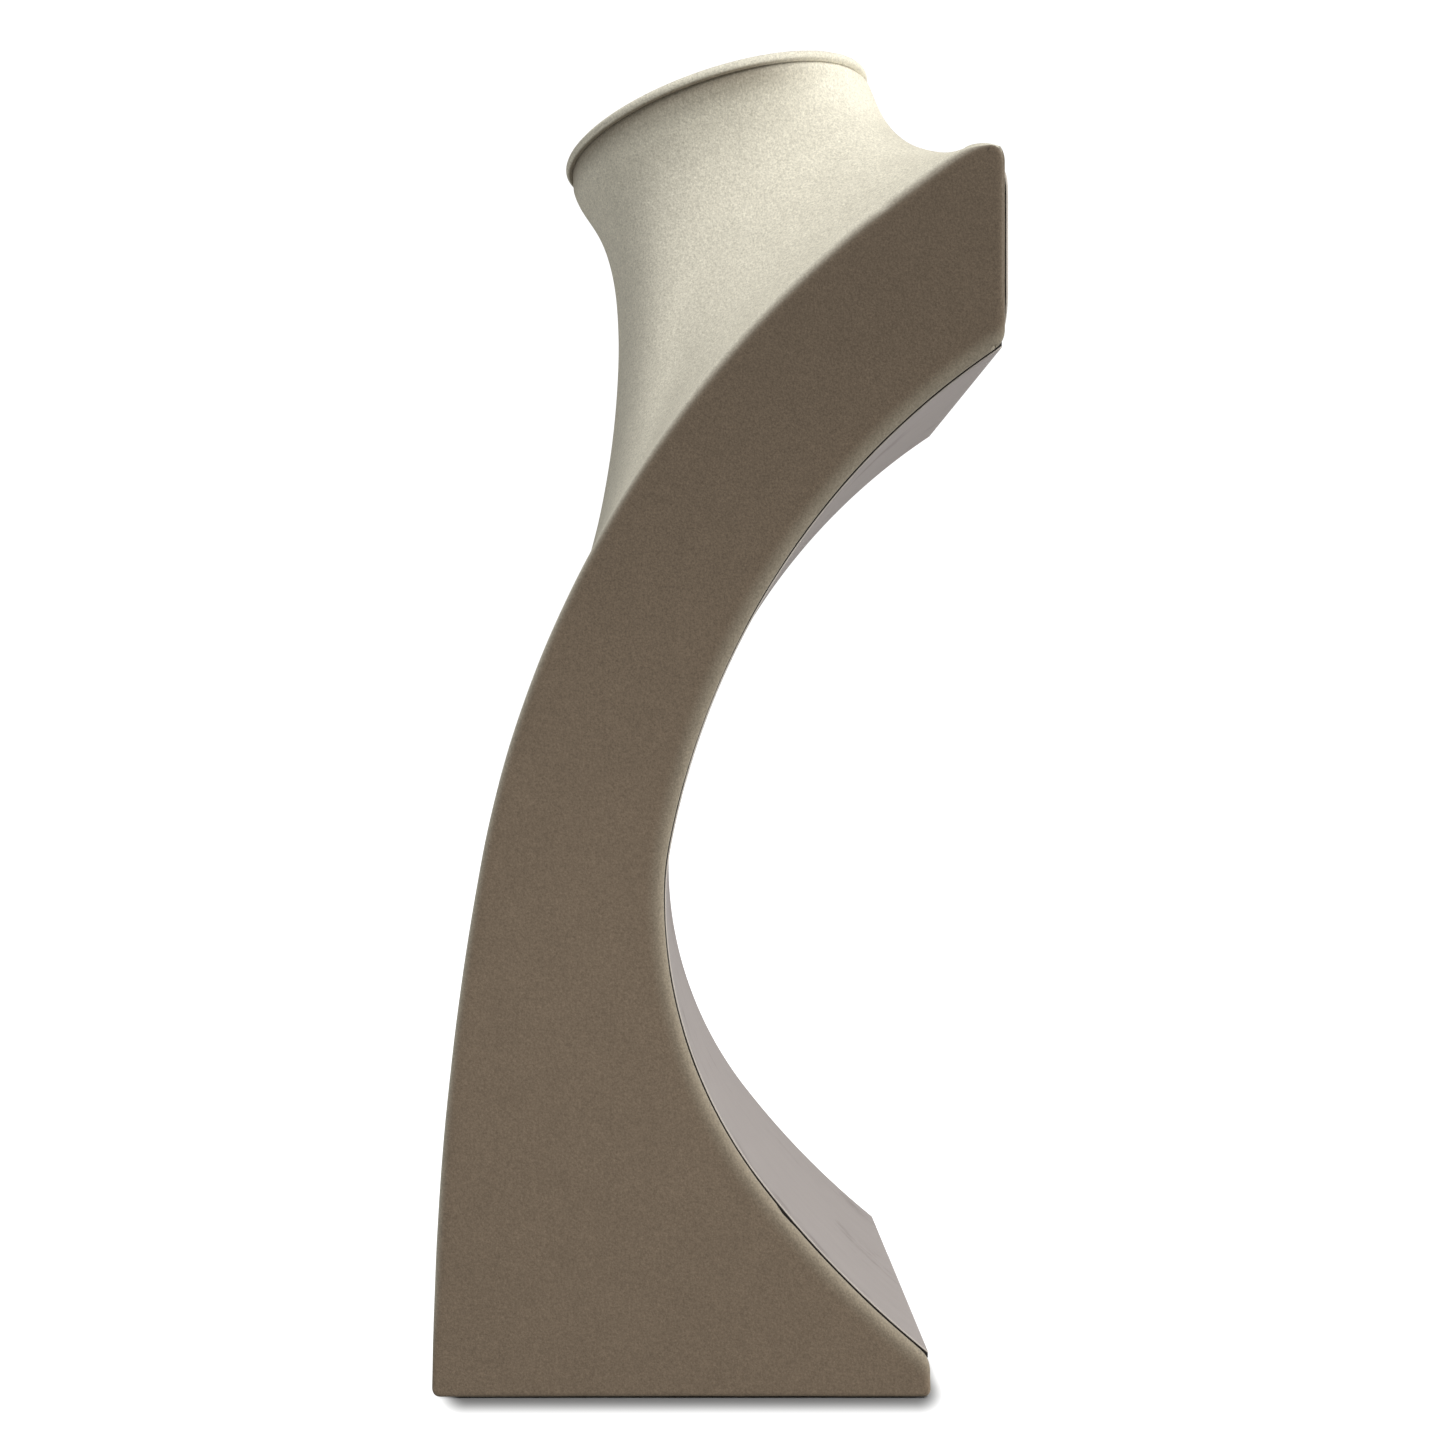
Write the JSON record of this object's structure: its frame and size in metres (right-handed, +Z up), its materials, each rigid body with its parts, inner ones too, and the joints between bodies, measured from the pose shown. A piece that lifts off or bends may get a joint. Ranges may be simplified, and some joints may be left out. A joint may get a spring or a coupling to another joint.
{
  "type": "necklace display bust",
  "caption": "Fabric-covered necklace display bust with flat sides, a leaning front, sloping shoulders, a flared neck with a tilted flat top, and a concave board back.",
  "frame": {"origin": "centre of the bounding box's footprint, on the surface that the bust stands on", "axes": "+Z up, the front faces -Y, the width runs along X, with +X on the wearer's left as the bust is worn"},
  "size_m": [0.108, 0.1218, 0.2976],
  "materials": {
    "suede": "suede-like microfibre with a fine matt nap, cream on the front and the neck, and grey-brown on the flat sides",
    "grey_board": "smooth grey-mauve paperboard",
    "dark_paper": "thin dark backing paper",
    "fibreboard": "raw medium-density fibreboard",
    "foam": "shaped rigid foam, off-white",
    "pine": "planed pine",
    "steel": "plain wire nail"
  },
  "bodies": {
    "root": {"right_side_cover": "suede", "left_side_cover": "suede", "front_cover": "suede", "cap_cover": "suede", "heel_cover": "suede", "back_board": "grey_board", "upper_back_sheet": "grey_board", "front_board": "grey_board", "base_sheet": "dark_paper", "right_side_panel": "fibreboard", "left_side_panel": "fibreboard", "base_panel": "fibreboard", "upper_back_panel": "fibreboard", "neck_cap": "fibreboard", "neck_form": "foam", "upper_rib": "pine", "middle_rib": "pine", "lower_rib": "pine", "right_front_glue_block": "pine", "right_back_glue_block": "pine", "left_front_glue_block": "pine", "left_back_glue_block": "pine", "right_upper_nail": "steel", "right_middle_nail": "steel", "right_lower_nail": "steel", "right_base_front_nail": "steel", "right_base_back_nail": "steel", "left_upper_nail": "steel", "left_middle_nail": "steel", "left_lower_nail": "steel", "left_base_front_nail": "steel", "left_base_back_nail": "steel"}
  },
  "joints": []
}
